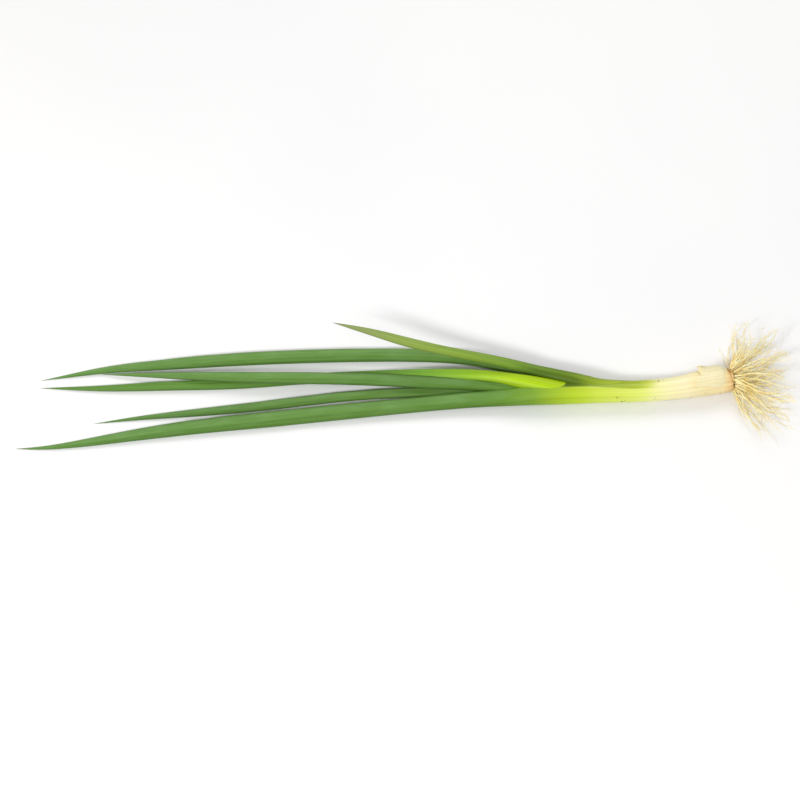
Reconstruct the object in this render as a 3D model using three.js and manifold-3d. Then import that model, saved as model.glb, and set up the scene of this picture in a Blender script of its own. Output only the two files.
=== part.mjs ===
// A whole spring onion lying on a flat surface: a white shank that swells to a small bulb, a dry papery
// skin on the bulb, a root plate with its fibrous roots, and six tubular leaves that fan out of the neck.
// Millimetres, +Z up, the surface at Z = 0. The plant lies along X, roots towards +X, leaf tips towards -X.
import * as THREE from "three";
import { mergeVertices } from "three/addons/utils/BufferGeometryUtils.js";
import Module from "manifold-3d";

const wasm = await Module();
wasm.setup();

// ---------------------------------------------------------------- driving dimensions
const GAP = 0.3; // clearance between pieces that touch
const UP = new THREE.Vector3(0, 0, 1);

const SHANK = {
  length: 97, // root plate to neck
  stemRadius: 6.1,
  bulbRadius: 7.7,
  bulbMiddle: 8, // where the bulb is widest, from the root plate
  bulbSpread: 17, // how far the bulb takes to narrow into the stem
  shoulder: 4.5, // length of the round shoulder next to the root plate
  neckDome: 9, // length of the rounded end that the leaves come out of
  neckLift: 1.2, // how far the lowest leaf holds the neck off the surface
  // The shank lies in a shallow bend: [share of its length, sideways].
  bend: [[0, 9], [0.08, 7.9], [0.17, 6], [0.28, 3.8], [0.4, 2.2], [0.65, 1.1], [0.85, 0.6], [1, 0]],
};

const PLATE = { radius: 6.8, thickness: 2.6, rim: 0.9 };

const SKIN = {
  from: 1.2, // distance from the root plate
  to: 20,
  middleAngle: 75, // degrees round the shank, 0 towards +Y and 90 upwards
  sweepAngle: 105,
  thickness: 0.4,
  tearDepth: 5, // how ragged the torn upper edge is
  tears: 2.5, // ragged points across the edge
  lift: 1.6, // how far the torn edge curls away
};

// A leaf's path runs from the shank's axis to its tip. Each row is [share of its reach past the neck,
// sideways from the neck, height of the leaf's underside]. Its base is a round sheath of radius `base`,
// which leaves the shank's axis `sheath` before the neck and narrows to the flat blade over `flare`.
const LEAVES = [
  {
    name: "leaf_front", reach: 300, sheath: 12, base: 5.7, flare: 55, width: 10, thickness: 5.2, taper: 140,
    path: [[0.03, -1.1, 2], [0.11, -1.9, 2.4], [0.2, -3.4, 1.6], [0.29, -6, 1], [0.42, -10, 0.2],
      [0.54, -14.2, 0], [0.66, -18.2, 0], [0.78, -23.5, 0], [0.88, -28.5, 0], [0.95, -31.2, 0], [1, -31, 0]],
    colour: 0x5f9242,
  },
  {
    name: "leaf_young", reach: 290, sheath: 10, base: 4.9, flare: 50, width: 6.8, thickness: 4.2, taper: 110,
    path: [[0.04, 5.6, 5.6], [0.08, 8.9, 6], [0.15, 12.3, 5.4], [0.22, 13.9, 3.4], [0.3, 14.6, 1.2],
      [0.38, 14.3, 0], [0.5, 12.3, 0], [0.6, 9.7, 0], [0.75, 8.2, 0], [0.88, 6.9, 0], [1, 7.8, 0]],
    colour: 0x93bf2c,
  },
  {
    name: "leaf_middle", reach: 256, sheath: 8, base: 4.5, flare: 40, width: 7.8, thickness: 4.4, taper: 120,
    path: [[0.04, 4, 1.6], [0.08, 5.7, 1.8], [0.16, 7.2, 2.6], [0.25, 7.4, 4.2], [0.33, 8.2, 4.8],
      [0.45, 9.8, 4.8], [0.65, 10.6, 4.8], [0.74, 11.8, 4.2], [0.84, 13.6, 2.8], [0.92, 15.2, 1.6],
      [1, 16.3, 0.8]],
    colour: 0x5b8c44,
  },
  {
    name: "leaf_low", reach: 258, sheath: 6, base: 4.2, flare: 36, width: 6.4, thickness: 3.8, taper: 115,
    path: [[0.04, 2.4, 0.4], [0.14, 4.3, 0], [0.22, 4.6, 0], [0.3, 4, 0], [0.4, 2.6, 0], [0.5, -0.1, 0],
      [0.6, -3.7, 0], [0.7, -6.9, 0], [0.8, -9.5, 0], [0.9, -12, 0], [1, -15.3, 0]],
    colour: 0x4c7a38,
  },
  {
    name: "leaf_back", reach: 290, sheath: 42, base: 5.6, flare: 75, width: 8.8, thickness: 5, taper: 130,
    path: [[-0.06, 6.2, 1.6], [0.03, 13.6, 2], [0.09, 20, 2], [0.15, 24.7, 1.6], [0.22, 26.9, 1],
      [0.3, 27.9, 0.4], [0.42, 27.8, 0], [0.6, 25.6, 0], [0.78, 21.5, 0], [0.88, 18.8, 0], [0.95, 15, 0],
      [1, 12.6, 0]],
    colour: 0x4f823c,
  },
  {
    name: "leaf_raised", reach: 125, sheath: 44, base: 5, flare: 60, width: 6.2, thickness: 3.6, taper: 50,
    path: [[-0.14, 6, 5.6], [0.06, 12.2, 9], [0.18, 15.4, 11.2], [0.3, 17.8, 13.4], [0.42, 19.9, 15.4],
      [0.55, 22.4, 17.6], [0.68, 25.7, 19.8], [0.8, 29.5, 22.2], [1, 35.2, 26]],
    colour: 0x8fb04a,
  },
];
const LEAF_SIDES = 14;
const LEAF_RINGS = 32;

// Roots fan out of the plate in layers, the lowest along the surface and the highest raised.
const ROOTS = {
  radius: 0.42,
  tipRadius: 0.16,
  length: 33,
  lengthSpread: 6,
  wave: 2, // how far a root wavers at its tip
  sides: 5,
  rings: 11,
  layers: [
    { count: 7, fan: 68, tipHeight: 0, bob: 0 },
    { count: 9, fan: 74, tipHeight: 3.4, bob: 0.9 },
    { count: 9, fan: 66, tipHeight: 7.6, bob: 1.2 },
    { count: 7, fan: 52, tipHeight: 12.4, bob: 1.4 },
    { count: 4, fan: 34, tipHeight: 17, bob: 1.4 },
  ],
};

const COLOURS = { shank: 0xeeeac4, skin: 0xf0e2bd, plate: 0xb08b52, root: 0xe4d39c };

// ---------------------------------------------------------------- shape helpers
const smooth = (from, to, value) => THREE.MathUtils.smoothstep(value, from, to);
const finish = (colour, roughness) =>
  new THREE.MeshStandardMaterial({ color: colour, roughness, metalness: 0 });

function curveThrough(points) {
  const curve = new THREE.CatmullRomCurve3(points.map((p) => new THREE.Vector3(...p)));
  curve.arcLengthDivisions = 400;
  return curve;
}

// Directions at a share of a curve: along it, level across it, and square to both.
function directions(curve, share) {
  const along = curve.getTangentAt(THREE.MathUtils.clamp(share, 0, 1));
  const across = along.clone().cross(UP).normalize();
  return { along, across, above: across.clone().cross(along) };
}

// A closed tube round a curve, flat at its start and drawn to a point at its end: a lathed shape of unit
// radius whose rings are moved onto the curve. size(share) gives the half width, the half height and how
// far the ring is raised off the curve.
function tube(curve, size, rings, sides, grow = 0) {
  const wall = Array.from({ length: rings }, (_, i) => new THREE.Vector2(1, i / rings));
  const profile = [new THREE.Vector2(0, 0), ...wall, new THREE.Vector2(0, 1)];
  const geometry = new THREE.LatheGeometry(profile, sides);
  const position = geometry.getAttribute("position");
  for (let i = 0; i < position.count; i++) {
    const share = position.getY(i);
    const { along, across, above } = directions(curve, share);
    const { halfWidth, halfHeight, raise = 0 } = size(share);
    const beyond = share < 0.5 / rings ? -grow : share > 1 - 0.5 / rings ? grow : 0;
    const point = curve
      .getPointAt(share)
      .addScaledVector(along, beyond)
      .addScaledVector(across, position.getX(i) * (halfWidth + grow))
      .addScaledVector(above, position.getZ(i) * (halfHeight + grow))
      .addScaledVector(UP, raise);
    position.setXYZ(i, point.x, point.y, point.z);
  }
  return geometry;
}

function solidOf(geometry) {
  const bare = geometry.clone();
  bare.deleteAttribute("normal");
  bare.deleteAttribute("uv");
  const merged = mergeVertices(bare);
  return new wasm.Manifold(
    new wasm.Mesh({
      numProp: 3,
      vertProperties: merged.getAttribute("position").array,
      triVerts: new Uint32Array(merged.index.array),
    }),
  );
}

function geometryOf(solid) {
  const { vertProperties, triVerts } = solid.getMesh();
  const geometry = new THREE.BufferGeometry();
  geometry.setAttribute("position", new THREE.BufferAttribute(vertProperties, 3));
  geometry.setIndex(new THREE.BufferAttribute(triVerts, 1));
  geometry.computeVertexNormals();
  return geometry;
}

function named(name, geometry, material) {
  const mesh = new THREE.Mesh(geometry, material);
  mesh.name = name;
  return mesh;
}

// ---------------------------------------------------------------- shank
const shankCurve = curveThrough(
  SHANK.bend.map(([share, sideways]) => [
    -share * SHANK.length,
    sideways,
    THREE.MathUtils.lerp(SHANK.bulbRadius, SHANK.stemRadius + SHANK.neckLift, share),
  ]),
);
const neck = shankCurve.getPointAt(1);

function shankRadius(distance) {
  const fromBulb = (distance - SHANK.bulbMiddle) / SHANK.bulbSpread;
  const body = THREE.MathUtils.lerp(SHANK.stemRadius, SHANK.bulbRadius, Math.exp(-fromBulb * fromBulb));
  const shoulder = Math.max(0, 1 - distance / SHANK.shoulder);
  const atPlate = PLATE.radius / SHANK.bulbRadius;
  const dome = THREE.MathUtils.clamp(1 - (SHANK.length - distance) / SHANK.neckDome, 0, 1);
  return body * (1 - (1 - atPlate) * shoulder ** 2) * Math.sqrt(1 - dome * dome);
}

function shankSolid(grow = 0) {
  const size = (share) => {
    const radius = shankRadius(share * SHANK.length);
    return { halfWidth: radius, halfHeight: radius };
  };
  return solidOf(tube(shankCurve, size, 44, 24, grow));
}

// ---------------------------------------------------------------- leaves
function leafCurve(leaf) {
  const onAxis = [0, 0.3].map((share) => {
    const distance = SHANK.length - leaf.sheath * (1 - share);
    const point = shankCurve.getPointAt(distance / SHANK.length);
    return [point.x, point.y, point.z - leaf.base];
  });
  const free = leaf.path.map(([share, sideways, underside]) => [
    neck.x - share * leaf.reach,
    neck.y + sideways,
    underside,
  ]);
  return curveThrough([...onAxis, ...free]);
}

// A leaf is round where it leaves the neck, flattened in the blade, and draws out to a long point.
function leafSolid(leaf, grow = 0) {
  const curve = leafCurve(leaf);
  const length = curve.getLength();
  const size = (share) => {
    const toTip = Math.min(1, ((1 - share) * length) / leaf.taper);
    const point = 1 - (1 - toTip) ** 2;
    const blade = smooth(0, leaf.flare / length, share);
    const halfWidth = THREE.MathUtils.lerp(leaf.base, leaf.width / 2, blade) * point;
    const halfHeight = THREE.MathUtils.lerp(leaf.base, leaf.thickness / 2, blade) * point;
    return { halfWidth, halfHeight, raise: halfHeight };
  };
  return solidOf(tube(curve, size, LEAF_RINGS, LEAF_SIDES, grow));
}

// Each leaf is trimmed clear of the shank and of the leaves inside it.
function leaves() {
  const inside = [shankSolid(GAP)];
  return LEAVES.map((leaf) => {
    const trimmed = inside.reduce((solid, other) => solid.subtract(other), leafSolid(leaf));
    inside.push(leafSolid(leaf, GAP));
    return named(leaf.name, geometryOf(trimmed), finish(leaf.colour, 0.45));
  });
}

// ---------------------------------------------------------------- dry skin
// A thin curved flake, bent from a box: its length runs along the shank and its width round it.
function drySkin() {
  const flake = new THREE.BoxGeometry(1, 1, 1, 10, 16, 1);
  const position = flake.getAttribute("position");
  const start = THREE.MathUtils.degToRad(SKIN.middleAngle - SKIN.sweepAngle / 2);
  const sweep = THREE.MathUtils.degToRad(SKIN.sweepAngle);
  for (let i = 0; i < position.count; i++) {
    const [lengthwise, round, through] = [0, 1, 2].map((k) => position.getComponent(i, k) + 0.5);
    const tear = SKIN.tearDepth * Math.sin(round * SKIN.tears * Math.PI) ** 2;
    const distance = THREE.MathUtils.lerp(SKIN.from, SKIN.to - tear, lengthwise);
    const { across, above } = directions(shankCurve, distance / SHANK.length);
    const lift = SKIN.lift * smooth(0.5, 1, lengthwise) * round;
    const radius = shankRadius(distance) + GAP + lift + through * SKIN.thickness;
    const angle = start + round * sweep;
    const point = shankCurve
      .getPointAt(distance / SHANK.length)
      .addScaledVector(across, radius * Math.cos(angle))
      .addScaledVector(above, radius * Math.sin(angle));
    position.setXYZ(i, point.x, point.y, point.z);
  }
  return named("dry_skin", flake, finish(COLOURS.skin, 0.6));
}

// ---------------------------------------------------------------- root plate and roots
// Distance of the plate's domed face from the shank, by how far out from the middle it is.
const plateFace = (out) =>
  GAP + PLATE.rim + (PLATE.thickness - PLATE.rim) * Math.sqrt(1 - Math.min(1, out / PLATE.radius) ** 2);

function rootPlate() {
  const steps = 8;
  const dome = Array.from({ length: steps + 1 }, (_, i) => {
    const out = PLATE.radius * Math.cos((i / steps) * (Math.PI / 2));
    return new THREE.Vector2(i === steps ? 0 : out, plateFace(out));
  });
  const profile = [new THREE.Vector2(0, GAP), new THREE.Vector2(PLATE.radius, GAP), ...dome];
  const plate = named("root_plate", new THREE.LatheGeometry(profile, 24), finish(COLOURS.plate, 0.8));
  plate.position.copy(shankCurve.getPointAt(0));
  plate.quaternion.setFromUnitVectors(new THREE.Vector3(0, -1, 0), shankCurve.getTangentAt(0));
  return plate;
}

// A root's path spreads level out of the plate while its height runs from the plate to the tip's height.
function rootCurve(layer, layerShare, index) {
  const base = shankCurve.getPointAt(0);
  const { along, across } = directions(shankCurve, 0);
  const turn = layer.count > 1 ? (2 * index) / (layer.count - 1) - 1 : 0;
  const heading = THREE.MathUtils.degToRad(layer.fan * turn);
  const rise = PLATE.radius * 0.76 * (2 * layerShare - 1);
  const side = turn * (Math.sqrt(PLATE.radius ** 2 - rise ** 2) - 2 * ROOTS.radius);
  const start = plateFace(Math.hypot(rise, side)) + GAP;
  const phase = 2.4 * index + 1.7 * layer.count;
  const length = ROOTS.length + ROOTS.lengthSpread * Math.sin(phase * 1.9);
  const points = [0, 0.15, 0.3, 0.45, 0.6, 0.8, 1].map((share) => {
    const waver = ROOTS.wave * share * Math.sin(phase + 7 * share);
    const bob = layer.bob * share * Math.sin(phase * 1.3 + 6 * share);
    const outwards = start + length * share * Math.cos(heading) - waver * Math.sin(heading);
    const sideways = side + length * share * Math.sin(heading) + waver * Math.cos(heading);
    const point = base.clone().addScaledVector(along, -outwards).addScaledVector(across, sideways);
    point.z = bob + THREE.MathUtils.lerp(base.z + rise, layer.tipHeight + ROOTS.radius, share * (2 - share));
    return point.toArray();
  });
  return curveThrough(points);
}

function roots() {
  const size = (share) => {
    const radius = THREE.MathUtils.lerp(ROOTS.radius, ROOTS.tipRadius, share);
    return { halfWidth: radius, halfHeight: radius };
  };
  const material = finish(COLOURS.root, 0.7);
  const made = ROOTS.layers.flatMap((layer, level) =>
    Array.from({ length: layer.count }, (_, index) => {
      const curve = rootCurve(layer, level / (ROOTS.layers.length - 1), index);
      return tube(curve, size, ROOTS.rings, ROOTS.sides);
    }),
  );
  return made.map((geometry, i) => named(`root_${String(i + 1).padStart(2, "0")}`, geometry, material));
}

// ---------------------------------------------------------------- the plant
const plant = new THREE.Group();
plant.add(named("shank", geometryOf(shankSolid()), finish(COLOURS.shank, 0.4)));
plant.add(drySkin(), rootPlate(), ...roots(), ...leaves());

// The origin is the middle of the footprint, on the surface.
const footprint = new THREE.Box3().setFromObject(plant);
const middle = footprint.getCenter(new THREE.Vector3());
plant.position.set(-middle.x, -middle.y, -footprint.min.z);

export default plant;
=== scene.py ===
import math

import bpy
import numpy as np
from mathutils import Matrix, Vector, noise


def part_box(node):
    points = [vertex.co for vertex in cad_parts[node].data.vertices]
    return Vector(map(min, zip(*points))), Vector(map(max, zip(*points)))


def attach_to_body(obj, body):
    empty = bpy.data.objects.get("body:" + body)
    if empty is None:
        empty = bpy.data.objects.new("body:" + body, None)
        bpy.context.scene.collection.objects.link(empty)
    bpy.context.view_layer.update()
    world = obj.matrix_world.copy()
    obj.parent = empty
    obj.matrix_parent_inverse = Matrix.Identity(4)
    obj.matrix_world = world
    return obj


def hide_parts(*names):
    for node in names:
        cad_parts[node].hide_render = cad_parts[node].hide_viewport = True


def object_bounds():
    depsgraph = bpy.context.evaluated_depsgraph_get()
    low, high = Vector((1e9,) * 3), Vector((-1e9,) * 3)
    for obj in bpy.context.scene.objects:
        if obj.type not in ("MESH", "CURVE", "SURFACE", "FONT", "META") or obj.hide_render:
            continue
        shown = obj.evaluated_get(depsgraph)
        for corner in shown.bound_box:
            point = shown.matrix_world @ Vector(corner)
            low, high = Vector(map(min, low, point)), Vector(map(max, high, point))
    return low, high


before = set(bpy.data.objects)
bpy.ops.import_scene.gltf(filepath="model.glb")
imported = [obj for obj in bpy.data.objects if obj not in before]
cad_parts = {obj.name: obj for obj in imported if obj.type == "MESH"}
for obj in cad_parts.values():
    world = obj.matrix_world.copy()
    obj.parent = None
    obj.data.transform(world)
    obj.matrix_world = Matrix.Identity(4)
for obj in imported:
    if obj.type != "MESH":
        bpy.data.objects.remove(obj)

# A spring onion lying on a pale studio floor. Every piece takes its place and size from the CAD nodes, in
# metres. Each leaf, the shank and each root is rebuilt as a fine tube round its CAD node's middle line.
CAD_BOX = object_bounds()
MM = 0.001
UP = np.array([0.0, 0.0, 1.0])
FULL_TURN = 2 * math.pi
FLOOR_CLEARANCE = 0.03 * MM
GRAIN_RADIUS = 6 * MM  # of the straightened tube that the textures are made on

PLATE_LOW, PLATE_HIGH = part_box("root_plate")
SHANK_LOW, SHANK_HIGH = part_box("shank")
PLATE_MIDDLE = np.array((PLATE_LOW + PLATE_HIGH) / 2)
PLATE_HALF = np.array(PLATE_HIGH - PLATE_LOW) / 2
NECK_X = SHANK_LOW.x


# ---------------------------------------------------------------- reading the frame
def edges_of(node):
    """A CAD node's points, and the two points of each of its edges."""
    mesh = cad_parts[node].data
    points = np.array([v.co for v in mesh.vertices])
    ends = np.array([e.vertices for e in mesh.edges])
    return points, ends


def sections(node, measure, values):
    """Rows of (middle x, y, z, half width, half height), where a CAD node's measure has each value."""
    points, ends = edges_of(node)
    level = measure(points)
    first, second = level[ends[:, 0]], level[ends[:, 1]]
    rows = []
    for value in values:
        crossed = (first - value) * (second - value) < 0
        share = ((value - first[crossed]) / (second[crossed] - first[crossed]))[:, None]
        cut = points[ends[crossed, 0]] * (1 - share) + points[ends[crossed, 1]] * share
        low, high = cut.min(0), cut.max(0)
        size = high - low
        rows.append([*(low + high) / 2, math.hypot(size[0], size[1]) / 2, size[2] / 2])
    return np.array(rows)


def leafward(points):
    """How far points lie towards the leaves' tips."""
    return -points[:, 0]


def from_plate(points):
    """How far points are from the middle of the root plate."""
    return np.linalg.norm(points - PLATE_MIDDLE, axis=1)


# ---------------------------------------------------------------- curves and waves
STEPS_BETWEEN_ROWS = 12


def through(rows, count):
    """A Catmull-Rom line through rows of numbers, at evenly spaced places along the first three."""
    rows = np.vstack([2 * rows[0] - rows[1], rows, 2 * rows[-1] - rows[-2]])
    t = np.linspace(0, 1, STEPS_BETWEEN_ROWS, endpoint=False)[:, None]
    fine = []
    for a, b, c, d in zip(rows, rows[1:], rows[2:], rows[3:]):
        fine.append(0.5 * (2 * b + (c - a) * t + (2 * a - 5 * b + 4 * c - d) * t**2
                           + (3 * b - 3 * c + d - a) * t**3))
    fine = np.vstack([*fine, rows[-2]])
    run = distance_along(fine)
    places = np.linspace(0, run[-1], count)
    return np.stack([np.interp(places, run, column) for column in fine.T], axis=1)


def distance_along(path):
    """The length of a path up to each of its points."""
    return np.concatenate([[0], np.cumsum(np.linalg.norm(np.diff(path[:, :3], axis=0), axis=1))])


def smoothed(rows, reach):
    """Each row becomes the mean of its neighbours on both sides. The two ends stay where they are."""
    kept = rows.copy()
    for i in range(1, len(rows) - 1):
        near = min(reach, i, len(rows) - 1 - i)
        kept[i] = rows[i - near:i + near + 1].mean(0)
    return kept


def step(low, high, value):
    """0 below low, 1 above high and a smooth rise between."""
    share = np.clip((value - low) / (high - low), 0, 1)
    return share * share * (3 - 2 * share)


def bump(middle, spread, value):
    """A smooth hump, 1 at its middle."""
    return np.exp(-(((value - middle) / spread) ** 2))


def turn_gap(turn, middle):
    """How far a turn is from a middle one, either way round."""
    return (turn - middle + math.pi) % FULL_TURN - math.pi


class Waves:
    """A smooth random wave of one number, between about -1 and 1."""

    def __init__(self, random, shortest, longest, count=5):
        self.lengths = np.geomspace(longest, shortest, count)
        self.phases = random.uniform(0, FULL_TURN, count)
        self.heights = self.lengths / self.lengths.sum()

    def __call__(self, value):
        value = np.asarray(value)[..., None]
        return (self.heights * np.sin(FULL_TURN * value / self.lengths + self.phases)).sum(-1)


# ---------------------------------------------------------------- making meshes
def mesh_piece(name, points, faces, grain, along=None):
    """A smooth mesh with the attributes that its material reads, kept clear of the floor."""
    points[:, 2] = np.maximum(points[:, 2], FLOOR_CLEARANCE)
    mesh = bpy.data.meshes.new(name)
    mesh.from_pydata([tuple(p) for p in points], [], faces)
    mesh.shade_smooth()
    mesh.attributes.new("grain", "FLOAT_VECTOR", "POINT").data.foreach_set("vector", grain.ravel())
    if along is not None:
        mesh.attributes.new("along", "FLOAT", "POINT").data.foreach_set("value", along.ravel())
    piece = bpy.data.objects.new(name, mesh)
    bpy.context.collection.objects.link(piece)
    return piece


def tube_parts(path, shape, sides, start=0.0):
    """Points, faces, grain and distance along for a closed tube round a path.

    shape(turn, run) gives how far the skin stands sideways of the path and above it. The grain is a place
    on a straightened tube, so that a texture made from it runs lengthwise and has no seam."""
    run = distance_along(path)
    ahead = np.gradient(path[:, :3], run, axis=0)
    ahead /= np.linalg.norm(ahead, axis=1)[:, None]
    across = np.cross(ahead, UP)
    across /= np.linalg.norm(across, axis=1)[:, None]
    above = np.cross(across, ahead)
    turn = np.arange(sides) * FULL_TURN / sides
    sideways, upwards = shape(turn[None, :], run[:, None])
    rings = (path[:, None, :3] + sideways[..., None] * across[:, None, :]
             + upwards[..., None] * above[:, None, :])
    count = len(path)
    grain = np.stack(np.broadcast_arrays(GRAIN_RADIUS * np.cos(turn)[None, :],
                                         GRAIN_RADIUS * np.sin(turn)[None, :],
                                         run[:, None] + start), axis=-1)
    points = np.vstack([rings.reshape(-1, 3), rings[0].mean(0), rings[-1].mean(0)])
    grain = np.vstack([grain.reshape(-1, 3), [0, 0, start], [0, 0, run[-1] + start]])
    faces = []
    for i in range(count - 1):
        for j in range(sides):
            k = (j + 1) % sides
            faces.append((i * sides + j, i * sides + k, (i + 1) * sides + k, (i + 1) * sides + j))
    last = (count - 1) * sides
    for j in range(sides):
        k = (j + 1) % sides
        faces.append((count * sides, k, j))
        faces.append((count * sides + 1, last + j, last + k))
    return points, faces, grain, grain[:, 2].copy()


def join_parts(name, parts):
    """One piece from several (points, faces, grain, along) sets."""
    shift, all_faces = 0, []
    for points, faces, _, _ in parts:
        all_faces += [tuple(v + shift for v in face) for face in faces]
        shift += len(points)
    points, grain, along = (np.concatenate([part[i] for part in parts]) for i in (0, 2, 3))
    return mesh_piece(name, points, all_faces, grain, along)


def attach(piece, material, slot, *nodes):
    """The piece gets its material, rides on the plant and stands for its CAD nodes."""
    piece.data.materials.append(material)
    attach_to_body(piece, "root")
    if nodes:
        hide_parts(*nodes)
    return piece


# ---------------------------------------------------------------- materials
class Paint:
    """A procedural material being written. add() makes a node and returns one of its outputs."""

    def __init__(self, name, **constants):
        self.material = bpy.data.materials.new(name)
        self.material.use_nodes = True
        self.tree = self.material.node_tree
        self.shader = self.tree.nodes["Principled BSDF"]
        for key, value in constants.items():
            self.shader.inputs[key.replace("_", " ")].default_value = value

    def add(self, kind, inputs, output=0, **settings):
        node = self.tree.nodes.new("ShaderNode" + kind)
        for key, value in settings.items():
            setattr(node, key, value)
        for key, value in inputs.items():
            self.feed(node.inputs[key], value)
        return node.outputs[output]

    def feed(self, socket, value):
        if isinstance(value, bpy.types.NodeSocket):
            self.tree.links.new(value, socket)
        else:
            socket.default_value = value

    def finish(self, **inputs):
        for key, value in inputs.items():
            self.feed(self.shader.inputs[key.replace("_", " ")], value)
        return self.material

    def along(self):
        """The distance from the root plate, or on the dry skin how near its edge is."""
        return self.add("Attribute", {}, 2, attribute_name="along")

    def grain(self):
        """The place on the straightened tube."""
        return self.add("Attribute", {}, 1, attribute_name="grain")

    def math(self, operation, a, b=0.0, c=0.0):
        return self.add("Math", {0: a, 1: b, 2: c}, operation=operation)

    def grain_noise(self, around, lengthwise, detail=3.0, distortion=0.0):
        """Noise on the straightened tube, with its own fineness round it and along it, per metre."""
        place = self.add("VectorMath", {0: self.grain(), 1: (around, around, lengthwise)},
                         operation="MULTIPLY")
        return self.add("TexNoise", {"Vector": place, "Scale": 1.0, "Detail": detail,
                                     "Distortion": distortion})

    def space_noise(self, fineness, detail=3.0):
        """Noise in the piece's own space, with its fineness per metre."""
        place = self.add("TexCoord", {}, 3)
        return self.add("TexNoise", {"Vector": place, "Scale": fineness, "Detail": detail})

    def spread(self, value, low, high, to_low=0.0, to_high=1.0):
        """The value from low to high becomes one from to_low to to_high, and stays there past the ends."""
        return self.add("MapRange", {"Value": value, "From Min": low, "From Max": high, "To Min": to_low,
                                     "To Max": to_high})

    def ramp(self, value, stops):
        """A colour for each value: stops are (value from 0 to 1, sRGB colour from 0 to 255)."""
        node = self.tree.nodes.new("ShaderNodeValToRGB")
        elements = node.color_ramp.elements
        while len(elements) < len(stops):
            elements.new(0.5)
        for element, (position, colour) in zip(elements, stops):
            element.position = position
            element.color = linear(colour)
        self.feed(node.inputs[0], value)
        return node.outputs[0]

    def mix(self, share, a, b, blend="MIX"):
        return self.add("Mix", {0: share, 6: a, 7: b}, 2, data_type="RGBA", blend_type=blend)

    def times(self, colour, shade):
        """The colour made darker or lighter by a number."""
        grey = self.add("CombineColor", {0: shade, 1: shade, 2: shade})
        return self.mix(1.0, colour, grey, "MULTIPLY")

    def bump(self, height, strength, distance):
        return self.add("Bump", {"Height": height, "Strength": strength, "Distance": distance})


def linear(colour):
    """An sRGB colour from 0 to 255, as the linear colour that shaders take."""
    return (*[((c / 255 + 0.055) / 1.055) ** 2.4 if c > 10 else c / (255 * 12.92) for c in colour], 1.0)


# Each row is a distance from the root plate in metres and the sRGB colour there, from 0 to 255.
PLANT_LENGTH = 0.45  # the ramps run over this distance
WHITE_COLOURS = [(0, (226, 184, 122)), (0.0012, (240, 210, 152)), (0.003, (245, 226, 170)),
                 (0.008, (243, 226, 172)), (0.016, (242, 226, 172)), (0.026, (245, 234, 190)),
                 (0.036, (242, 236, 180))]
NECK_COLOURS = [(0.055, (216, 228, 104)), (0.066, (208, 222, 86)), (0.077, (196, 216, 66)),
                (0.088, (176, 202, 38)), (0.099, (154, 184, 34))]
SHANK_COLOURS = [*WHITE_COLOURS, (0.043, (236, 236, 160)), (0.049, (224, 232, 122)), *NECK_COLOURS]
LEAF_COLOURS = {
    "leaf_front": [*NECK_COLOURS, (0.111, (118, 156, 38)), (0.127, (98, 140, 40)), (0.14, (90, 133, 42)),
                   (0.19, (90, 131, 46)), (0.3, (88, 130, 50)), (0.4, (92, 133, 56))],
    "leaf_young": [(0.08, (190, 214, 40)), (0.09, (176, 206, 2)), (0.107, (168, 202, 2)),
                   (0.127, (172, 206, 18)), (0.139, (168, 210, 44)), (0.15, (154, 202, 42)),
                   (0.161, (140, 188, 48)), (0.175, (122, 174, 54)), (0.19, (108, 156, 52)),
                   (0.21, (96, 142, 48)), (0.38, (94, 136, 56))],
    "leaf_middle": [(0.07, (180, 206, 60)), (0.1, (140, 178, 50)), (0.127, (92, 134, 36)),
                    (0.18, (88, 130, 46)), (0.28, (92, 134, 52)), (0.36, (92, 132, 56))],
    "leaf_low": [(0.07, (170, 200, 56)), (0.11, (104, 146, 44)), (0.15, (84, 124, 40)),
                 (0.19, (94, 134, 50)), (0.28, (78, 118, 44)), (0.38, (86, 126, 50))],
    # The back leaf is darkest from 0.087 to 0.127 m: painted shade, where the raised leaf shades it.
    "leaf_back": [(0.041, (236, 234, 160)), (0.046, (202, 212, 78)), (0.052, (168, 186, 28)),
                  (0.066, (154, 174, 20)), (0.077, (134, 158, 20)), (0.087, (84, 110, 5)),
                  (0.105, (76, 104, 5)), (0.127, (76, 112, 28)), (0.139, (80, 120, 36)),
                  (0.165, (90, 132, 46)), (0.28, (90, 133, 50)), (0.38, (92, 134, 56))],
    "leaf_raised": [(0.052, (214, 224, 92)), (0.066, (168, 188, 40)), (0.08, (134, 160, 34)),
                    (0.092, (104, 134, 20)), (0.105, (102, 134, 26)), (0.125, (116, 150, 40)),
                    (0.15, (132, 162, 50)), (0.19, (144, 166, 74)), (0.208, (142, 158, 90))],
}
LEAF_BLOOM_AND_PAINTED_LIGHT = {"leaf_young": 0.25, "leaf_raised": 0.3}  # how much wax bloom and painted light on the upper side, against the other leaves
# The back leaf's colours: its sheath, and near the neck painted shade. They also colour the sheath's side of
# the shank and of the front leaf, and the painted shade under the raised leaf.
SHEATH_AND_SHADE = LEAF_COLOURS["leaf_back"]
SHANK_SHEATH_AND_SHADE = WHITE_COLOURS + SHEATH_AND_SHADE

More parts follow.
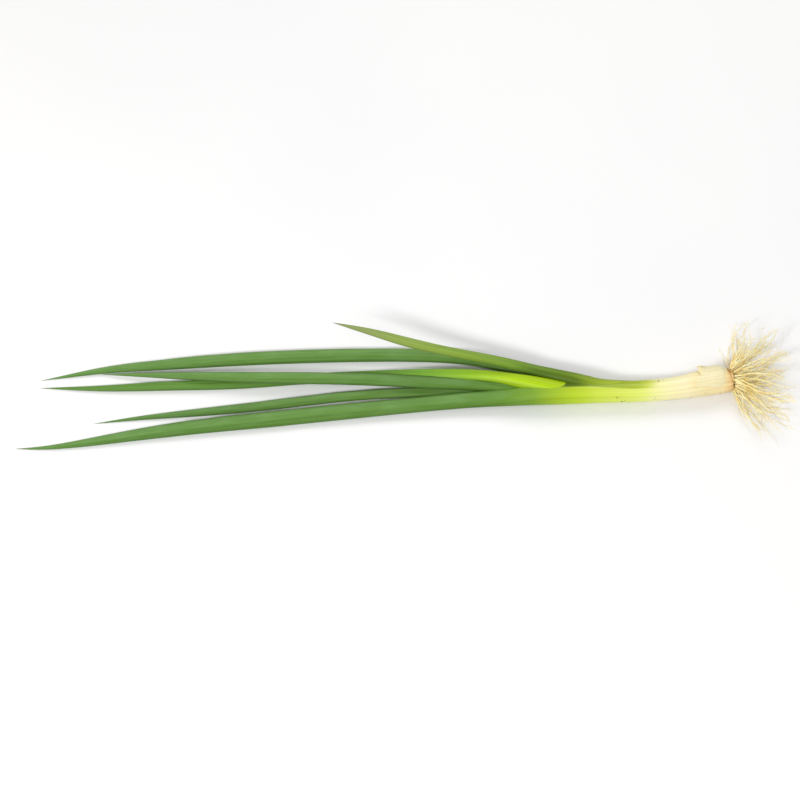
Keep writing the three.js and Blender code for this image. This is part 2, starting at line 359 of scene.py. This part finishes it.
# Sides of the tubes that have colours of their own, or painted shade: the middle of the side, and its half
# width near the bulb and near the neck, in degrees from +Y by way of the top. The back leaf's sheath wraps
# the far side of the shank and of the front leaf's base. The raised leaf has painted shade underneath, in
# the back leaf's dark colours, until it is clear of the neck.
BACK_SIDE = (15, 91, 70)
PAINTED_SHADE_UNDER_RAISED_LEAF = (210, 114, 114)
SIDE_CHANGES = (0.055, 0.08)  # the half width changes between these distances from the root plate
PAINTED_SIDES = {
    "leaf_front": dict(side_colours=SHEATH_AND_SHADE, side=BACK_SIDE, ends=(0.092, 0.1)),
    # The raised leaf's painted shade: its underside near the neck takes the back leaf's dark colours.
    "leaf_raised": dict(side_colours=SHEATH_AND_SHADE, side=PAINTED_SHADE_UNDER_RAISED_LEAF, ends=(0.11, 0.124), softness=0.2),
}
# The wax bloom's colour, which is also the painted light on the leaves' upper sides.
WAX_AND_PAINTED_LIGHT = (130, 168, 108)
# Painted shade for the lower sides of the leaves.
PAINTED_LEAF_SHADE = (30, 52, 16)
DRY_TIP = (132, 134, 104)
SOIL_STAIN = (108, 84, 52)
PAPER_EDGE = (230, 196, 130)


def at_distance(paint, shift, colours):
    """A ramp of colours over the distance from the root plate."""
    place = paint.math("DIVIDE", paint.math("ADD", paint.along(), shift), PLANT_LENGTH)
    return paint.ramp(place, [(at / PLANT_LENGTH, shade) for at, shade in colours])


def facing(paint, degrees):
    """How far a tube's skin faces a side, from -1 to 1. The side is degrees from +Y by way of the top."""
    angle = math.radians(degrees)
    towards = (math.cos(angle) / GRAIN_RADIUS, math.sin(angle) / GRAIN_RADIUS, 0)
    return paint.add("VectorMath", {0: paint.grain(), 1: towards}, 1, operation="DOT_PRODUCT")


def side_share(paint, side, softness):
    """1 on one side of a tube and 0 elsewhere."""
    middle, near_bulb, near_neck = side
    limits = [math.cos(math.radians(half)) for half in (near_bulb, near_neck)]
    edge = paint.spread(paint.along(), *SIDE_CHANGES, *limits)
    return paint.spread(paint.math("SUBTRACT", facing(paint, middle), edge), -softness, softness)


def veined(paint, colours, side_colours=None, side=None, ends=(1.0, 1.01), softness=0.05,
           contrast=(0.84, 1.1)):
    """The colour, the vein pattern and the soft blotches that the green and white parts share.

    Where side_colours are given, they cover one side of the tube up to a distance from the root plate, and
    fade out between the two ends."""
    streaks = paint.grain_noise(900, 9, 3.0)
    blotches = paint.grain_noise(160, 60, 3.0, 0.4)
    # The streaks carry the colours lengthwise by this much, and less so near the root plate.
    reach = paint.spread(paint.along(), 0.0, 0.03, 0.002, 0.012)
    shift = paint.math("MULTIPLY", paint.math("SUBTRACT", streaks, 0.5), reach)
    colour = at_distance(paint, shift, colours)
    if side_colours:
        until = paint.spread(paint.along(), *ends, 1.0, 0.0)
        share = paint.math("MULTIPLY", side_share(paint, side, softness), until)
        colour = paint.mix(share, colour, at_distance(paint, shift, side_colours))
    fine = paint.grain_noise(2600, 14, 2.0)
    veins = paint.math("ADD", paint.math("MULTIPLY", streaks, 0.55), paint.math("MULTIPLY", fine, 0.45))
    colour = paint.times(colour, paint.spread(veins, 0.3, 0.7, *contrast))
    return colour, streaks, fine, blotches


def shank_material():
    paint = Paint("shank_tissue", Subsurface_Weight=0.35, Subsurface_Radius=(1.0, 0.8, 0.35),
                  Subsurface_Scale=1.6 * MM, IOR=1.4, Specular_IOR_Level=0.38, Coat_Weight=0.12,
                  Coat_Roughness=0.2)
    colour, streaks, fine, blotches = veined(paint, SHANK_COLOURS, SHANK_SHEATH_AND_SHADE, BACK_SIDE)
    soil = paint.math("MULTIPLY", paint.spread(paint.space_noise(900, 4.0), 0.66, 0.74),
                      paint.spread(paint.grain_noise(110, 50, 2.0), 0.52, 0.62))
    colour = paint.mix(soil, colour, linear(SOIL_STAIN))
    roughness = paint.spread(blotches, 0.3, 0.7, 0.26, 0.42)
    height = paint.math("ADD", paint.math("MULTIPLY", fine, 0.5), streaks)
    return paint.finish(Base_Color=colour, Roughness=roughness, Normal=paint.bump(height, 0.35, 0.25 * MM))


def leaf_material(name, tip):
    """A leaf's skin. Its tip, at this distance from the root plate, has dried a little."""
    paint = Paint(name + "_tissue", Subsurface_Weight=0.12, Subsurface_Radius=(0.6, 1.0, 0.2),
                  Subsurface_Scale=0.8 * MM, IOR=1.4, Specular_IOR_Level=0.28, Coat_Weight=0.05,
                  Coat_Roughness=0.35)
    colour, streaks, fine, blotches = veined(paint, LEAF_COLOURS[name], contrast=(0.77, 1.15),
                                             **PAINTED_SIDES.get(name, {}))
    blade = paint.spread(paint.along(), 0.09, 0.14)
    # Painted light: the upper side of each blade is made lighter and greyer in the wax colour, on top of the
    # wax bloom's blotches.
    upper = facing(paint, 50)
    bloom_and_painted_light = paint.math("ADD", paint.spread(blotches, 0.42, 0.72, 0.0, 0.22),
                       paint.spread(upper, 0.1, 1.0, 0.0, 0.26))
    bloom_and_painted_light = paint.math("MULTIPLY", paint.math("MULTIPLY", bloom_and_painted_light, blade), LEAF_BLOOM_AND_PAINTED_LIGHT.get(name, 1.0))
    colour = paint.mix(bloom_and_painted_light, colour, linear(WAX_AND_PAINTED_LIGHT))
    # Painted shade: the lower side of each blade is darkened towards this colour.
    painted_underside_shade = paint.math("MULTIPLY", paint.spread(upper, -0.75, 0.5, 0.4, 0.0), blade)
    colour = paint.mix(painted_underside_shade, colour, linear(PAINTED_LEAF_SHADE))
    dry = paint.spread(paint.along(), tip - 10 * MM, tip - 1 * MM, 0.0, 0.6)
    colour = paint.mix(dry, colour, linear(DRY_TIP))
    roughness = paint.spread(blotches, 0.3, 0.7, 0.42, 0.56)
    height = paint.math("ADD", paint.math("MULTIPLY", fine, 0.6), streaks)
    return paint.finish(Base_Color=colour, Roughness=roughness, Normal=paint.bump(height, 0.4, 0.25 * MM))


def root_material():
    paint = Paint("root_fibre", Subsurface_Weight=0.5, Subsurface_Radius=(1.0, 0.8, 0.4),
                  Subsurface_Scale=0.4 * MM, Roughness=0.6)
    patches = paint.space_noise(120, 3.0)
    colour = paint.ramp(patches, [(0.3, (238, 204, 124)), (0.42, (250, 228, 158)), (0.6, (255, 244, 196)),
                                  (0.74, (246, 218, 142))])
    fibres = paint.grain_noise(6000, 300, 3.0)
    colour = paint.times(colour, paint.spread(fibres, 0.3, 0.7, 0.9, 1.0))
    return paint.finish(Base_Color=colour, Normal=paint.bump(fibres, 0.5, 0.1 * MM))


def plate_material():
    paint = Paint("corky_plate", Roughness=0.8)
    colour = paint.ramp(paint.space_noise(420, 5.0),
                        [(0.3, (150, 104, 52)), (0.45, (206, 160, 94)), (0.6, (238, 206, 142))])
    return paint.finish(Base_Color=colour, Normal=paint.bump(paint.space_noise(1500, 4.0), 0.8, 0.3 * MM))


def dry_skin_material():
    paint = Paint("papery_skin", Subsurface_Weight=0.3, Subsurface_Radius=(1.0, 0.8, 0.4),
                  Subsurface_Scale=0.5 * MM, Roughness=0.5)
    fibres = paint.grain_noise(1500, 40, 4.0)
    colour = paint.ramp(fibres, [(0.3, (238, 217, 160)), (0.5, (247, 232, 182)), (0.7, (251, 240, 200))])
    edge = paint.spread(paint.along(), 0.75, 1.0)
    colour = paint.mix(paint.math("MULTIPLY", edge, 0.3), colour, linear(PAPER_EDGE))
    return paint.finish(Base_Color=colour, Normal=paint.bump(fibres, 0.6, 0.2 * MM))


def soil_material():
    paint = Paint("soil", Roughness=0.95)
    colour = paint.ramp(paint.space_noise(2500, 3.0), [(0.35, (52, 36, 22)), (0.65, (112, 84, 52))])
    return paint.finish(Base_Color=colour, Normal=paint.bump(paint.space_noise(4000, 4.0), 0.9, 0.2 * MM))


def floor_material():
    paint = Paint("pale_floor", Roughness=0.55)
    colour = paint.ramp(paint.space_noise(3.0, 2.0), [(0.3, (236, 236, 238)), (0.7, (242, 242, 242))])
    return paint.finish(Base_Color=colour)


# ---------------------------------------------------------------- shank
SHANK_RINGS = 220
SHANK_SIDES = 96
SHANK_ROWS = 40
BY_THE_PLATE = 1.8 * MM  # no section of the CAD shank is read from this close to its lower end,
NECK_DOME = 9 * MM  # nor from the rounded end that the leaves come out of
PLATE_COVER = 0.97  # the shank's skin starts inside the rim of the root plate


def shank_rows():
    """The shank's middle line and half sizes, from the root plate to the neck."""
    values = np.linspace(-SHANK_HIGH.x + BY_THE_PLATE, -NECK_X - NECK_DOME, SHANK_ROWS)
    rows = smoothed(sections("shank", leafward, values), 2)
    start = PLATE_MIDDLE + (rows[0, :3] - PLATE_MIDDLE) * 0.5
    start_radius = (PLATE_HIGH.z - PLATE_LOW.z) / 2 * PLATE_COVER
    return np.vstack([[*start, start_radius, start_radius], rows])


def shank_axis(rows, run):
    """A point on the shank's middle line at a distance from the root plate, past its end if need be."""
    places = distance_along(rows)
    ahead = rows[-1, :3] - rows[-4, :3]
    ahead /= np.linalg.norm(ahead)
    if run > places[-1]:
        return rows[-1, :3] + ahead * (run - places[-1])
    return np.array([np.interp(run, places, rows[:, i]) for i in range(3)])


def build_shank(rows, material):
    """The shank's skin, with fine ribs, a sheath's edge winding up it and puckers at the root plate."""
    random = np.random.default_rng(3)
    fine = through(rows, SHANK_RINGS)
    run = distance_along(fine)
    swell = Waves(random, 0.012, 0.06)
    ribs = [(k, random.uniform(0, FULL_TURN), random.uniform(-40, 40), random.uniform(0.02, 0.05))
            for k in (7, 11, 16, 23)]
    length = run[-1]

    def shape(turn, place):
        radius = np.interp(place, run, fine[:, 3:].mean(1))
        ribbing = sum(height * np.cos(k * turn + phase + drift * place) for k, phase, drift, height in ribs)
        edge_turn = 4.1 + 9 * place + 0.5 * swell(place)
        layer_edge = 0.22 * step(-0.05, 0.05, turn_gap(turn, edge_turn))
        layer_edge = layer_edge * step(0.3, 1.0, np.abs(turn_gap(turn, edge_turn - math.pi)))
        puckers = 0.12 * bump(0, 3 * MM, place) * np.cos(19 * turn + 3 * np.sin(2 * turn))
        into_leaf = 1 - 0.25 * step(length - 8 * MM, length, place)
        fade = 1 - step(length - 45 * MM, length - 25 * MM, place)
        lumps = ribbing * 0.6 + layer_edge + 0.14 * swell(place + 0.006 * turn)
        radius = radius + MM * (lumps * fade + puckers - 0.1)
        radius = radius * into_leaf
        return radius * np.cos(turn), radius * np.sin(turn)

    points, faces, grain, along = tube_parts(fine, shape, SHANK_SIDES)
    return attach(mesh_piece("shank_skin", points, faces, grain, along), material, "shank", "shank")


# ---------------------------------------------------------------- leaves
class Leaf:
    """How a leaf differs from the others. Lengths are in mm and turns in radians.

    Its CAD node gives its shape from free_from past the neck. Its crease lies at a turn, and wanders by the
    twist. Its base inside the shank is rows of (before the neck, sideways, upwards, half width, half
    height)."""

    def __init__(self, name, slot, seed, free_from, crease, crease_depth, twist, base):
        self.name, self.slot, self.seed = name, slot, seed
        self.free_from, self.base = free_from * MM, np.array(base) * MM
        self.crease, self.crease_depth, self.twist = crease, crease_depth * MM, twist


LEAVES = [
    Leaf("leaf_front", "leaf", seed=11, free_from=34, crease=1.9, crease_depth=0.5, twist=0.5,
         base=[(36, 0, 0, 5.3, 5.3), (22, 0, 0, 5.95, 5.95), (8, 0, 0, 6.25, 6.1),
               (-6, -0.2, 0.1, 6.1, 5.7)]),
    Leaf("leaf_young", "young_leaf", seed=12, free_from=30, crease=1.3, crease_depth=0.3, twist=-0.4,
         base=[(12, 0, 0.4, 4.4, 4.4), (4, 1.0, 1.2, 4.9, 4.7), (-8, 4.0, 2.6, 4.7, 4.2)]),
    Leaf("leaf_middle", "leaf", seed=16, free_from=32, crease=1.6, crease_depth=0.4, twist=-0.3,
         base=[(10, 0, -0.2, 4.2, 4.2), (0, 1.2, -0.8, 4.4, 4.3), (-10, 3.8, -1.4, 4.3, 3.9)]),
    Leaf("leaf_low", "leaf", seed=13, free_from=36, crease=1.7, crease_depth=0.4, twist=0.4,
         base=[(8, 0, -0.8, 3.9, 3.9), (0, 0.6, -2.0, 4.0, 3.9), (-10, 2.3, -3.0, 3.8, 3.5)]),
    Leaf("leaf_back", "leaf", seed=14, free_from=12, crease=1.4, crease_depth=0.5, twist=-0.5,
         base=[(70, 0, 0, 5.2, 5.2), (54, 0.25, 0, 5.5, 5.5), (40, 0.6, -0.1, 5.7, 5.7),
               (29, 1.6, -0.3, 5.7, 5.6), (20, 3.7, -0.4, 5.5, 5.2), (11, 6.9, -0.6, 5.3, 4.7)]),
    Leaf("leaf_raised", "old_leaf", seed=15, free_from=12, crease=1.2, crease_depth=0.3, twist=0.6,
         base=[(62, 0, 0, 5.0, 5.0), (46, 0.5, 0.4, 5.0, 5.0), (34, 1.2, 0.8, 4.9, 4.8),
               (24, 2.7, 1.5, 4.6, 4.4), (14, 5.8, 2.7, 4.2, 3.9)]),
]
LEAF_RINGS = 320
LEAF_SIDES = 56
LEAF_ROWS = 70
LEAF_DENTS = 9
TIP_TRIM = 0.3 * MM
FULL_HALF_WIDTH = 4 * MM  # a leaf that is slimmer than this has shallower creases and dents


def build_leaf(leaf, stem):
    """A leaf from its base inside the shank to its tip, with ribs, a crease and a few dents."""
    random = np.random.default_rng(leaf.seed)
    tip_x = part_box(leaf.name)[0].x
    values = np.linspace(leaf.free_from - NECK_X, -tip_x - TIP_TRIM, LEAF_ROWS)
    free = smoothed(sections(leaf.name, leafward, values), 2)
    stem_length = distance_along(stem)[-1] + NECK_DOME
    base = [[*(shank_axis(stem, stem_length - before) + [0, aside, up]), half_width, half_height]
            for before, aside, up, half_width, half_height in leaf.base]
    rows = np.vstack([base, free])
    fine = smoothed(smoothed(through(rows, LEAF_RINGS), 6), 6)
    run = distance_along(fine)
    length = run[-1]
    wander, breadth, _ = (Waves(random, 0.02, 0.12) for _ in range(3))
    ribs = [(k, random.uniform(0, FULL_TURN), random.uniform(-20, 20), random.uniform(0.02, 0.06))
            for k in (5, 8, 12, 17)]
    dents = [(random.uniform(0.06, length - 0.03), random.uniform(0.3, 2.8), random.uniform(0.005, 0.012),
              random.uniform(0.15, 0.4)) for _ in range(LEAF_DENTS)]

    def shape(turn, place):
        half_width = np.interp(place, run, fine[:, 3])
        half_height = np.interp(place, run, fine[:, 4])
        slim = np.clip(half_width / FULL_HALF_WIDTH, 0, 1)
        ribbing = sum(height * np.cos(k * turn + phase + drift * place) for k, phase, drift, height in ribs)
        past_neck = place - leaf.base[0, 0]
        ribbing = ribbing * step(-0.02, 0.02, past_neck)
        blade = step(0, 0.05, past_neck)
        crease_turn = leaf.crease + leaf.twist * wander(place)
        crease = leaf.crease_depth * blade * bump(0, 0.35, turn_gap(turn, crease_turn))
        hollows = sum(depth * MM * bump(at, spread, place) * bump(0, 0.5, turn_gap(turn, where))
                      for at, where, spread, depth in dents)
        inwards = (crease + hollows + MM * 0.1 * blade - MM * ribbing * 0.7) * slim
        inwards = inwards - 0.02 * half_width * breadth(place) * blade
        scale = 1 - np.clip(inwards / np.maximum(half_height, 0.2 * MM), -0.02, 0.35)
        return half_width * np.cos(turn) * (1 - (1 - scale) * 0.4), half_height * np.sin(turn) * scale

    start = stem_length - leaf.base[0, 0]
    points, faces, grain, along = tube_parts(fine, shape, LEAF_SIDES, start)
    piece = mesh_piece(leaf.name + "_blade", points, faces, grain, along)
    return attach(piece, leaf_material(leaf.name, start + length), leaf.slot, leaf.name)


# ---------------------------------------------------------------- dry skin
FLAKE_ANGLES = (math.radians(24), math.radians(146))  # round the shank, 0 towards +Y and 90 upwards
FLAKE_ROWS = 60
FLAKE_COLUMNS = 90


def flake_corner(side, i, j):
    """Where a grid corner of the flake's underside (0) or outside (1) is in its list of points."""
    return (side * (FLAKE_ROWS + 1) + i) * (FLAKE_COLUMNS + 1) + j


def flake_faces():
    """The two sides of the flake, and the rim that joins them."""
    faces = []
    for i in range(FLAKE_ROWS):
        for j in range(FLAKE_COLUMNS):
            cell = [(i, j), (i + 1, j), (i + 1, j + 1), (i, j + 1)]
            faces.append(tuple(flake_corner(1, *at) for at in cell))
            faces.append(tuple(flake_corner(0, *cell[k]) for k in (0, 3, 2, 1)))
    rim = ([(i, 0) for i in range(FLAKE_ROWS)]
           + [(FLAKE_ROWS, j) for j in range(FLAKE_COLUMNS)]
           + [(i, FLAKE_COLUMNS) for i in range(FLAKE_ROWS, 0, -1)]
           + [(0, j) for j in range(FLAKE_COLUMNS, 0, -1)])
    for here, there in zip(rim, rim[1:] + rim[:1]):
        faces.append((flake_corner(0, *here), flake_corner(0, *there),
                      flake_corner(1, *there), flake_corner(1, *here)))
    return faces


def build_dry_skin(stem, material):
    """A torn flake of papery skin on top of the bulb, which hugs it in front and stands off behind."""
    random = np.random.default_rng(21)
    low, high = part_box("dry_skin")
    start, end = SHANK_HIGH.x - high.x, SHANK_HIGH.x - low.x
    ragged, frayed, edge, wrinkle = (Waves(random, *reach) for reach in
                                     ((0.3, 1.1), (0.02, 0.12), (0.08, 0.6), (0.08, 0.5)))
    first, last = FLAKE_ANGLES
    run = distance_along(stem)
    points, grain, along = [], [], []
    for side in (0, 1):
        for i in range(FLAKE_ROWS + 1):
            for j in range(FLAKE_COLUMNS + 1):
                lengthwise, around = i / FLAKE_ROWS, j / FLAKE_COLUMNS
                # The upper edge is torn into long and short teeth, with a spike at the back.
                tear = 2.4 * abs(ragged(around)) + 0.9 * abs(frayed(around))
                torn = end - MM * (4 + tear - 4.5 * around**2)
                spike = 3 * MM * bump(0.1, 0.035, around)
                place_along = start + (torn + spike - start) * lengthwise
                # The flake narrows towards that edge.
                narrowing = 0.06 + 0.05 * edge(lengthwise) + 0.16 * lengthwise**3
                angle = first + (last - first) * (around * (1 - narrowing) + narrowing * 0.3)
                centre = shank_axis(stem, place_along)
                radius = np.interp(place_along, run, stem[:, 3:].mean(1))
                # How far it stands off the shank, in mm.
                curl = 0.35 + 1.5 * bump(0.1, 0.12, around) + 0.3 * wrinkle(around)
                curl *= step(0.72, 1, lengthwise)
                side_curl = 0.15 * step(0.88, 1, around) * lengthwise
                hug = -0.5 * (1 - step(0, 0.2, lengthwise)) - 0.3 * step(0.8, 1, around) * (1 - lengthwise)
                waves = 0.1 * (wrinkle(around * 1.5 + lengthwise * 0.4) + 1)
                loose_back = bump(0, 0.3, around) * step(0.02, 0.4, lengthwise)
                radius += MM * (0.12 + curl + side_curl + hug + waves + loose_back + side * 0.1)
                points.append(centre + radius * np.array([0, math.cos(angle), math.sin(angle)]))
                grain.append([radius * math.cos(angle), radius * math.sin(angle), place_along])
                along.append(max(lengthwise**3, 1 - 10 * (1 - around), 1 - 12 * around))
    piece = mesh_piece("dry_skin_flake", np.array(points), flake_faces(), np.array(grain), np.array(along))
    return attach(piece, material, "dry_skin", "dry_skin")


# ---------------------------------------------------------------- root plate
PLATE_GRAIN_RADIUS = 5 * MM


def build_root_plate(material):
    """The lumpy corky disc, as a squashed ball whose skin is pushed in and out by noise."""
    rings, sides = 40, 72
    centre, half = PLATE_MIDDLE, PLATE_HALF
    points, grain = [], []
    for i in range(1, rings):
        tilt = math.pi * i / rings
        for j in range(sides):
            turn = FULL_TURN * j / sides
            wide = math.sin(tilt)
            ball = Vector((math.cos(tilt), wide * math.cos(turn), wide * math.sin(turn)))
            rough = 0.9 + 0.1 * noise.fractal(ball * 3.1, 0.8, 2.2, 5)
            flat = Vector((math.copysign(abs(ball.x) ** 0.6, ball.x), ball.y, ball.z)) * rough
            points.append(centre + half * np.array(flat) * 0.98)
            grain.append(list(ball * PLATE_GRAIN_RADIUS))
    points += [centre + half * [0.9, 0, 0], centre - half * [0.9, 0, 0]]
    grain += [[PLATE_GRAIN_RADIUS, 0, 0], [-PLATE_GRAIN_RADIUS, 0, 0]]
    faces = []
    for i in range(rings - 2):
        for j in range(sides):
            k = (j + 1) % sides
            faces.append((i * sides + j, (i + 1) * sides + j, (i + 1) * sides + k, i * sides + k))
    top, bottom, last = (rings - 1) * sides, (rings - 1) * sides + 1, (rings - 2) * sides
    for j in range(sides):
        k = (j + 1) % sides
        faces += [(top, j, k), (bottom, last + k, last + j)]
    piece = mesh_piece("corky_root_plate", np.array(points), faces, np.array(grain))
    return attach(piece, material, "root_plate", "root_plate")


# ---------------------------------------------------------------- roots
ROOT_COUNT = 36
ROOT_ROWS = 16
ROOT_RINGS = 46
ROOTLET_RINGS = 16
THICK_SIDES = 8
THIN_SIDES = 5
THICK_FROM = 0.2 * MM  # radius
BOX_MARGIN = 0.2 * MM
SHRINK = 0.8  # what strays out of the plant's box is made smaller by this again and again
# The radius where it starts, the radius at its tip, how far it wavers and its shortest wave.
MAIN_STRAND = (0.42 * MM, 0.15 * MM, 2.2 * MM, 6 * MM)
SIDE_STRAND = (0.24 * MM, 0.1 * MM, 4.5 * MM, 8 * MM)
ROOTLET = (0.13 * MM, 0.06 * MM, 2.0 * MM, 4 * MM)


def inside_box(points):
    """The points, moved to the nearest place in the plant's box and clear of the floor."""
    low = np.array([CAD_BOX[0][0] + BOX_MARGIN, CAD_BOX[0][1] + BOX_MARGIN, FLOOR_CLEARANCE])
    high = np.array(CAD_BOX[1]) - BOX_MARGIN
    return np.clip(points, low, high)


def strays(points):
    """Whether a path leaves the plant's box sideways or lengthwise."""
    return np.abs(inside_box(points) - points)[:, :2].max() > 0


def strand(random, path, radius, tip_radius, waver, shortest):
    """A root or rootlet that wavers about a path, more so towards its tip: its own path and its parts."""
    run = distance_along(path)
    length = run[-1]
    share = (run / length)[:, None]
    waves = [Waves(random, shortest, length * 1.2, 4) for _ in range(3)]
    sway = waver * np.sqrt(share) * np.stack([w(run) - w(0.0) for w in waves], axis=1) * [1, 1, 0.7]
    while strays(path[:, :3] + sway) and np.abs(sway).max() > 0.1 * MM:
        sway *= SHRINK
    path = inside_box(path[:, :3] + sway)
    lowest = radius * (1 - share[:, 0]) + tip_radius * share[:, 0] + FLOOR_CLEARANCE
    path[:, 2] = np.maximum(path[:, 2], lowest)
    lumps = Waves(random, 0.002, 0.012)

    def shape(turn, place):
        size = (radius + (tip_radius - radius) * (place / length)) * (1 + 0.18 * lumps(place))
        size = size * np.sqrt(np.clip((length - place) / (0.6 * MM), 0.05, 1))
        return size * np.cos(turn), size * np.sin(turn)

    return path, tube_parts(path, shape, THICK_SIDES if radius > THICK_FROM else THIN_SIDES)


def build_root(index, material):
    """A CAD root as a main strand with two thinner ones beside it and a few rootlets."""
    name = f"root_{index:02d}"
    random = np.random.default_rng(100 + index)
    points, _ = edges_of(name)
    reach = from_plate(points)
    values = np.linspace(reach.min() + 0.5 * MM, reach.max() - 0.4 * MM, ROOT_ROWS)
    rows = sections(name, from_plate, values)[:, :3]
    start = rows[0] + (PLATE_MIDDLE - rows[0]) * 0.35
    path = through(np.vstack([start, rows]), ROOT_RINGS)
    beside = [strand(random, path[:random.integers(26, ROOT_RINGS)], *SIDE_STRAND)[1] for _ in range(2)]
    path, main = strand(random, path, *MAIN_STRAND)
    parts = [main, *beside]
    for _ in range(random.integers(3, 7)):
        at = random.integers(4, ROOT_RINGS - 8)
        ahead = path[at + 3] - path[at]
        ahead /= np.linalg.norm(ahead)
        aside = random.normal(0, 1, 3) * [1, 1, 0.5]
        heading = ahead + 0.8 * aside / np.linalg.norm(aside)
        places = np.linspace(0, random.uniform(6, 17) * MM, ROOTLET_RINGS)
        rootlet = path[at] + places[:, None] * heading
        while strays(rootlet):
            rootlet = path[at] + (rootlet - path[at]) * SHRINK
        parts.append(strand(random, rootlet, *ROOTLET)[1])
    return attach(join_parts(name + "_fibres", parts), material, "root", name)


# ---------------------------------------------------------------- soil
# Distance from the root plate in mm, degrees round the shank from +Y by way of the top, and size in mm.
SHANK_CRUMBS = [(64, 152, 0.42), (61, 184, 0.5), (59.5, 176, 0.25), (40.6, 64, 0.45), (38, 58, 0.22),
                (14, 170, 0.25), (5, 196, 0.35), (22, 214, 0.3), (33, 250, 0.4), (50, 230, 0.25),
                (9, 40, 0.3), (27, 20, 0.3)]
PLATE_CRUMB_OFFSET = np.array([1.3, -5.2, 2.6]) * MM
PLATE_CRUMB_SIZE = 0.9 * MM


def build_soil(stem, material):
    """Crumbs of soil stuck to the shank and the root plate."""
    random = np.random.default_rng(31)
    run = distance_along(stem)
    parts = []
    for at, degrees, size in SHANK_CRUMBS:
        angle = math.radians(degrees)
        radius = np.interp(at * MM, run, stem[:, 3:].mean(1)) + 0.05 * MM
        centre = shank_axis(stem, at * MM) + radius * np.array([0, math.cos(angle), math.sin(angle)])
        parts.append(crumb(random, centre, size * MM))
    parts.append(crumb(random, PLATE_MIDDLE + PLATE_CRUMB_OFFSET, PLATE_CRUMB_SIZE))
    return attach(join_parts("soil_crumbs", parts), material, None)


def crumb(random, centre, size):
    """A rough lump, as a short tube that closes at both ends."""
    rings, sides = 8, 12
    seed = Vector(random.uniform(0, 100, 3))
    path = centre + np.linspace(-1, 1, rings)[:, None] * size * np.array([0.9, 0, 0])

    def shape(turn, place):
        middle = 0.9 * size
        radius = size * 0.6 * np.sqrt(np.clip(1 - ((place - middle) / (middle * 1.02)) ** 2, 0.02, 1))
        rough = np.array([[1 + 0.5 * noise.noise(seed + Vector((3 * math.cos(t), 3 * math.sin(t), p / size)))
                           for t in turn[0]] for p in place[:, 0]])
        return radius * rough * np.cos(turn), radius * rough * np.sin(turn)

    return tube_parts(path, shape, sides)


# ---------------------------------------------------------------- studio
FLOOR_RADIUS = 5.0
FLOOR_SIDES = 96
SKY_COLOUR = (1, 0.985, 0.95, 1)
SKY_STRENGTH = 0.4
# Name, azimuth and elevation in degrees, distance and size in metres, and power in watts.
SOFTBOXES = [("key_lamp", -43, 39, 1.6, 0.24, 14),
             ("front_softbox", -5, 55, 1.6, 0.9, 6.5),
             ("back_softbox", 160, 50, 1.8, 1.0, 11.5)]
CAMERA_ELEVATION = 60
CAMERA_DISTANCE = 1.06
CAMERA_LENS = 85
AIM = Vector((-4.3, -8.6, 0)) * MM  # a little left of and in front of the middle of the plant


def direction(azimuth, elevation):
    """Towards the camera of a view. Azimuth 0 is the front, from -Y, and it grows towards +X."""
    a, e = math.radians(azimuth), math.radians(elevation)
    return Vector((math.sin(a) * math.cos(e), -math.cos(a) * math.cos(e), math.sin(e)))


def stand_back(thing, target, azimuth, elevation, distance):
    """Put a lamp or camera at a distance from its target and turn it to face the target."""
    back = direction(azimuth, elevation)
    thing.location = target + back * distance
    thing.rotation_mode = "QUATERNION"
    thing.rotation_quaternion = (-back).to_track_quat("-Z", "Y")


def build_floor():
    turns = [FULL_TURN * i / FLOOR_SIDES for i in range(FLOOR_SIDES)]
    rim = [(FLOOR_RADIUS * math.cos(turn), FLOOR_RADIUS * math.sin(turn), 0) for turn in turns]
    mesh = bpy.data.meshes.new("floor")
    mesh.from_pydata(rim, [], [tuple(range(FLOOR_SIDES))])
    floor = bpy.data.objects.new("floor", mesh)
    bpy.context.collection.objects.link(floor)
    floor.data.materials.append(floor_material())


def soft_light(name, azimuth, elevation, distance, size, power):
    """A square softbox that faces the middle of the plant."""
    light = bpy.data.lights.new(name, "AREA")
    light.shape, light.size, light.energy = "SQUARE", size, power
    lamp = bpy.data.objects.new(name, light)
    bpy.context.collection.objects.link(lamp)
    stand_back(lamp, Vector(), azimuth, elevation, distance)


def build_studio():
    build_floor()
    world = bpy.data.worlds.new("studio")
    world.use_nodes = True
    sky = world.node_tree.nodes["Background"]
    sky.inputs["Color"].default_value = SKY_COLOUR
    sky.inputs["Strength"].default_value = SKY_STRENGTH
    bpy.context.scene.world = world
    for softbox in SOFTBOXES:
        soft_light(*softbox)


def build_camera():
    camera = bpy.data.objects.new("camera", bpy.data.cameras.new("camera"))
    bpy.context.collection.objects.link(camera)
    camera.data.lens = CAMERA_LENS
    stand_back(camera, AIM, 0, CAMERA_ELEVATION, CAMERA_DISTANCE)
    bpy.context.scene.camera = camera


# ---------------------------------------------------------------- the plant
def build_plant():
    stem = shank_rows()
    build_shank(stem, shank_material())
    for leaf in LEAVES:
        build_leaf(leaf, stem)
    build_dry_skin(stem, dry_skin_material())
    build_root_plate(plate_material())
    fibre = root_material()
    for index in range(1, ROOT_COUNT + 1):
        build_root(index, fibre)
    build_soil(stem, soil_material())


build_camera()
build_plant()
build_studio()
bpy.context.scene.view_settings.view_transform = "Standard"
